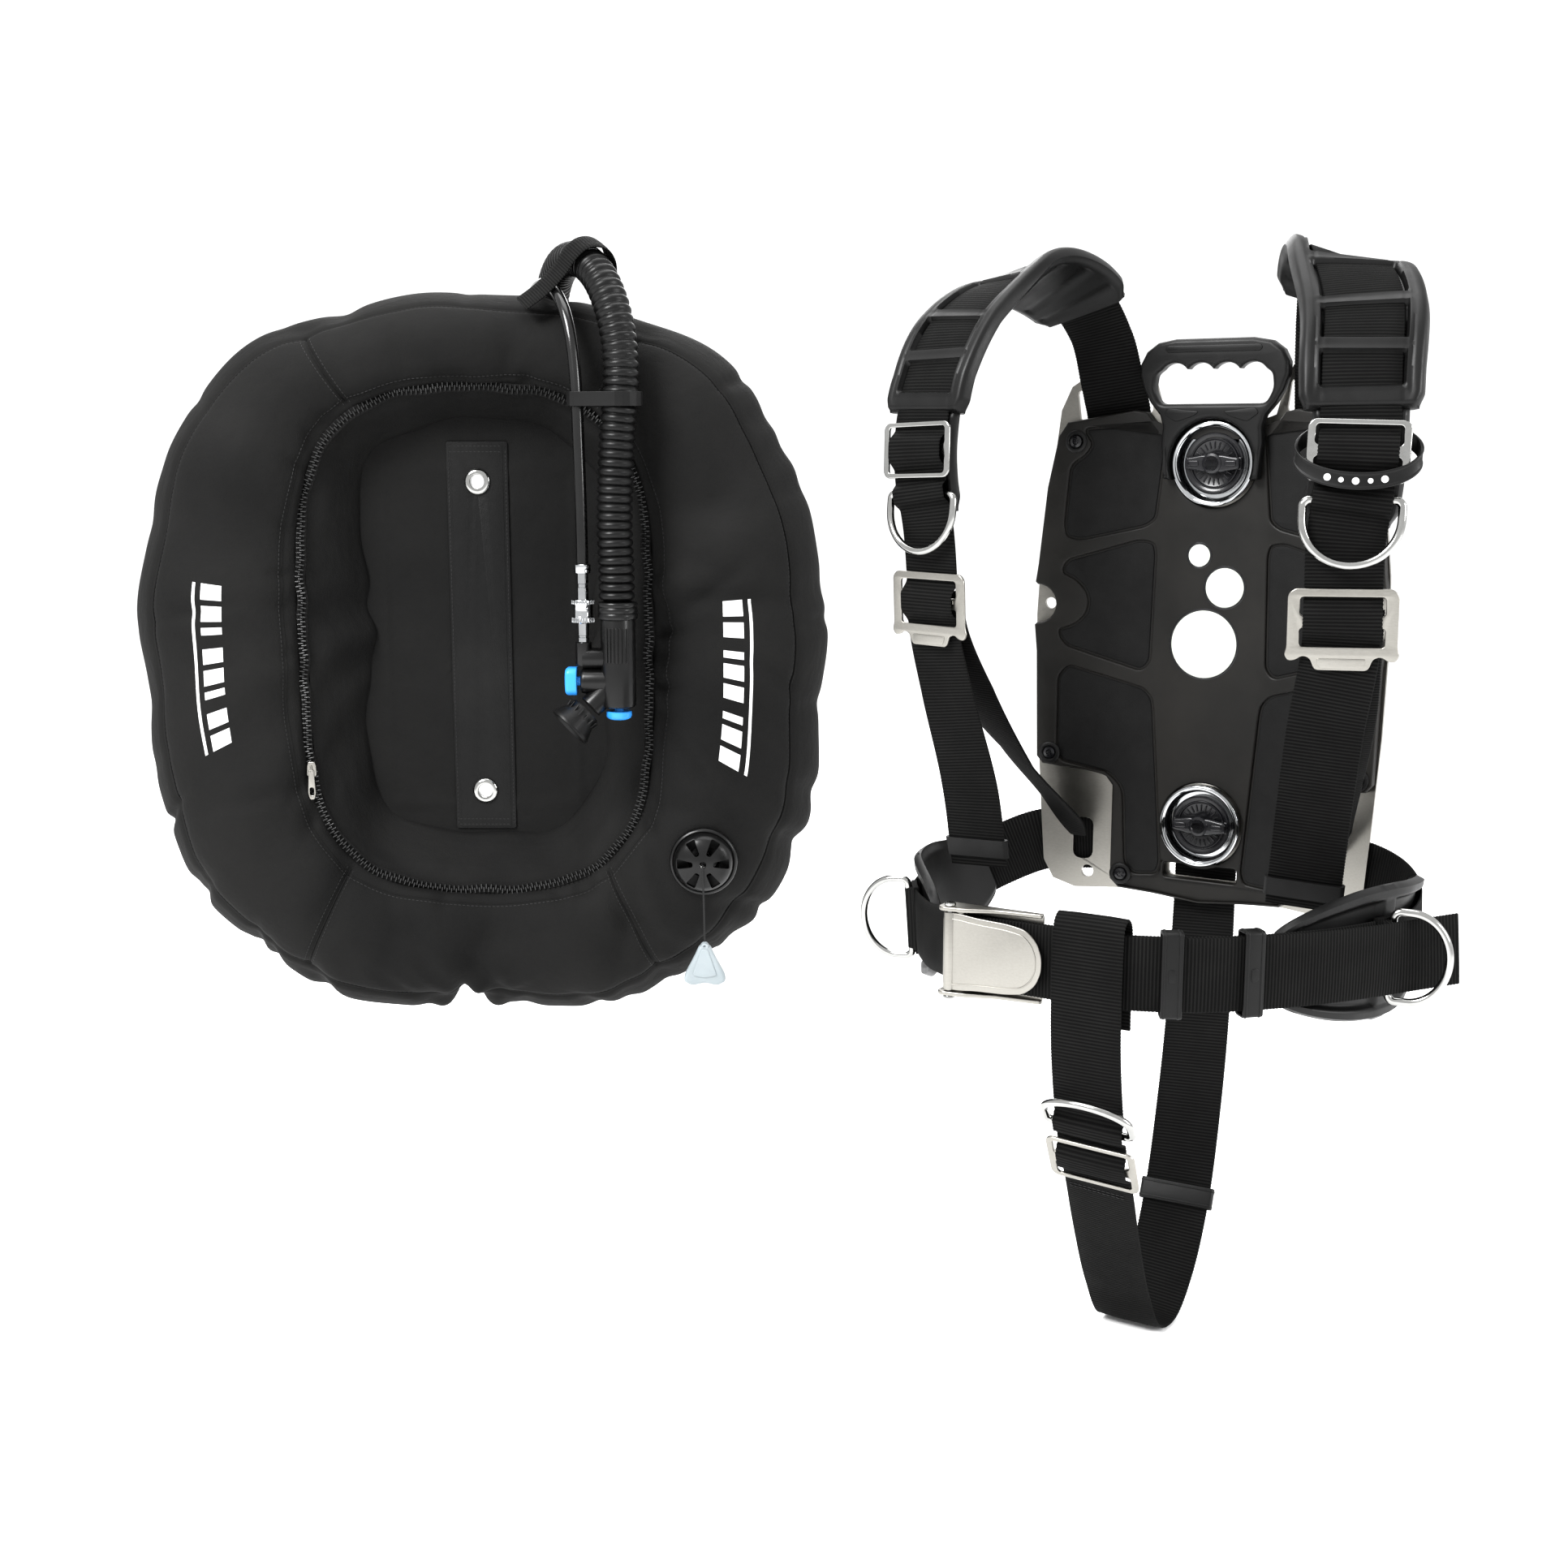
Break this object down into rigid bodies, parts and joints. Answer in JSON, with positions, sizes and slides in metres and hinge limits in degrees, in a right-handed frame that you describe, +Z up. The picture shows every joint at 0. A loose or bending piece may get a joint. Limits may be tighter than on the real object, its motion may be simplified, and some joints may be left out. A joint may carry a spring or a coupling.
{
  "type": "buoyancy compensator",
  "caption": "Backplate-and-wing diving buoyancy compensator: steel plate harness with buckles and rings beside its ring-shaped air cell with inflator hose and dump valve.",
  "frame": {"origin": "centre of the backplate's back face, midway between its two bolt holes 279.4 mm apart", "axes": "+Z up as worn; the wing lies towards -X facing -Y; the harness faces -Y turned 32 degrees towards -X about Z"},
  "size_m": [1.0331, 0.6285, 0.8208],
  "materials": {
    "steel": "satin, brushed",
    "cover": "matte moulded skin",
    "rubber": "satin",
    "chrome": "polished",
    "knob": "gloss",
    "webbing": "ribbed weave",
    "wing_cloth": "plain weave",
    "bladder": "smooth",
    "plastic": "moulded",
    "blue_button": "satin",
    "white_knob": "satin"
  },
  "bodies": {
    "harness": {"backplate": "steel", "shoulder_slider_left": "steel", "shoulder_slider_right": "steel", "strap_buckle_left": "steel", "strap_buckle_right": "steel", "waist_buckle_frame": "steel", "waist_buckle_pin": "steel", "crotch_slider": "steel", "back_pad": "cover", "carry_handle": "rubber", "shoulder_pad_left": "rubber", "shoulder_pad_right": "rubber", "hose_retainer_band": "rubber", "hip_pad_left": "rubber", "hip_pad_right": "rubber", "upper_bezel": "chrome", "lower_bezel": "chrome", "shoulder_strap_left": "webbing", "shoulder_strap_right": "webbing", "lower_strap_left": "webbing", "lower_strap_right": "webbing", "waist_strap_left": "webbing", "waist_strap_right": "webbing", "crotch_strap": "webbing"},
    "upper_knob": {"upper_knob": "knob"},
    "lower_knob": {"lower_knob": "knob"},
    "shoulder_ring_left": {"shoulder_d_ring_left": "steel"},
    "shoulder_ring_right": {"shoulder_d_ring_right": "steel"},
    "hip_ring_left": {"hip_d_ring_left": "steel"},
    "hip_ring_right": {"hip_d_ring_right": "steel"},
    "buckle_lever": {"waist_buckle_lever": "steel"},
    "keeper_1": {"belt_keeper_1": "rubber"},
    "keeper_2": {"belt_keeper_2": "rubber"},
    "crotch_ring": {"crotch_d_ring": "steel"},
    "crotch_keeper": {"crotch_keeper": "rubber"},
    "wing": {"wing_shell": "wing_cloth", "air_bladder": "bladder", "center_panel": "wing_cloth", "grommet_strip": "webbing", "upper_grommet": "steel", "lower_grommet": "steel", "zip_chain": "plastic", "dump_valve_housing": "plastic", "hose_elbow": "plastic", "corrugated_hose": "rubber", "inflator_body": "plastic", "mouthpiece": "rubber", "qd_fitting": "chrome", "lp_hose": "rubber", "lp_hose_end": "chrome", "hose_strap_top": "webbing", "hose_tie": "rubber"},
    "zip_slider": {"zip_slider": "steel"},
    "poppet": {"dump_valve_poppet": "plastic", "dump_valve_spring": "steel"},
    "dump_pull": {"dump_pull_cord": "webbing", "dump_pull_knob": "white_knob"},
    "power_button": {"power_button": "blue_button"},
    "oral_button": {"oral_button": "blue_button"},
    "qd_collar": {"qd_collar": "chrome"}
  },
  "joints": [
    {"name": "upper_knob_turn", "type": "hinge", "parent": "harness", "child": "upper_knob", "pos_m": [0, 0, 0.1397], "axis": [0.5299, 0.848, 0], "continuous": true},
    {"name": "lower_knob_turn", "type": "hinge", "parent": "harness", "child": "lower_knob", "pos_m": [0, 0, -0.1397], "axis": [0.5299, 0.848, 0], "continuous": true},
    {"name": "shoulder_ring_left_swing", "type": "hinge", "parent": "harness", "child": "shoulder_ring_left", "pos_m": [0.03257, -0.24187, 0.11892], "axis": [-0.9597, 0.2809, 0.0005], "range_deg": [0, 95]},
    {"name": "shoulder_ring_right_swing", "type": "hinge", "parent": "harness", "child": "shoulder_ring_right", "pos_m": [-0.23167, -0.07675, 0.11892], "axis": [-0.6732, 0.7395, -0.0005], "range_deg": [0, 95]},
    {"name": "hip_ring_left_swing", "type": "hinge", "parent": "harness", "child": "hip_ring_left", "pos_m": [0.07779, -0.22771, -0.18651], "axis": [0.0295, -0.0092, 0.9995], "range_deg": [-60, 10]},
    {"name": "hip_ring_right_swing", "type": "hinge", "parent": "harness", "child": "hip_ring_right", "pos_m": [-0.23346, -0.0281, -0.20899], "axis": [0.0724, 0.0406, -0.9965], "range_deg": [-55, 55]},
    {"name": "crotch_ring_swing", "type": "hinge", "parent": "harness", "child": "crotch_ring", "pos_m": [-0.12632, -0.2535, -0.29921], "axis": [0.857, -0.5132, -0.0475], "range_deg": [0, 110]},
    {"name": "buckle_lever_open", "type": "hinge", "parent": "harness", "child": "buckle_lever", "pos_m": [-0.21898, -0.21456, -0.186], "axis": [0, 0, -1], "range_deg": [0, 110]},
    {"name": "belt_keeper_1_slide", "type": "slide", "parent": "harness", "child": "keeper_1", "axis": [-0.9975, 0.0713, 0], "range_m": [-0.008, 0.008]},
    {"name": "belt_keeper_2_slide", "type": "slide", "parent": "harness", "child": "keeper_2", "axis": [-0.9785, -0.2061, 0], "range_m": [-0.008, 0.008]},
    {"name": "crotch_keeper_slide", "type": "slide", "parent": "harness", "child": "crotch_keeper", "axis": [-0.2294, -0.4315, -0.8725], "range_m": [-0.008, 0.008]},
    {"name": "wing_slide", "type": "slide", "parent": "harness", "child": "wing", "axis": [1, 0, 0], "range_m": [-0.2, 0]},
    {"name": "zip_slide", "type": "slide", "parent": "wing", "child": "zip_slider", "axis": [-0.0312, 0, 0.9995], "range_m": [0, 0.1]},
    {"name": "dump_pull_down", "type": "slide", "parent": "wing", "child": "dump_pull", "axis": [0, 0, -1], "range_m": [0, 0.006], "stiffness_N_per_m": 300, "springref_m": -0.001},
    {"name": "poppet_lift", "type": "slide", "parent": "wing", "child": "poppet", "axis": [0, -1, 0], "range_m": [0, 0.004]},
    {"name": "power_button_press", "type": "slide", "parent": "wing", "child": "power_button", "axis": [1, 0, 0], "range_m": [0, 0.003], "stiffness_N_per_m": 400, "springref_m": -0.001},
    {"name": "oral_button_press", "type": "slide", "parent": "wing", "child": "oral_button", "axis": [0, 0, 1], "range_m": [0, 0.003], "stiffness_N_per_m": 400, "springref_m": -0.001},
    {"name": "qd_collar_pull", "type": "slide", "parent": "wing", "child": "qd_collar", "axis": [0, 0, 1], "range_m": [0, 0.006], "stiffness_N_per_m": 300, "springref_m": -0.001}
  ],
  "couplings": [
    {"joint": "poppet_lift", "follows": "dump_pull_down", "ratio": 0.6667}
  ]
}
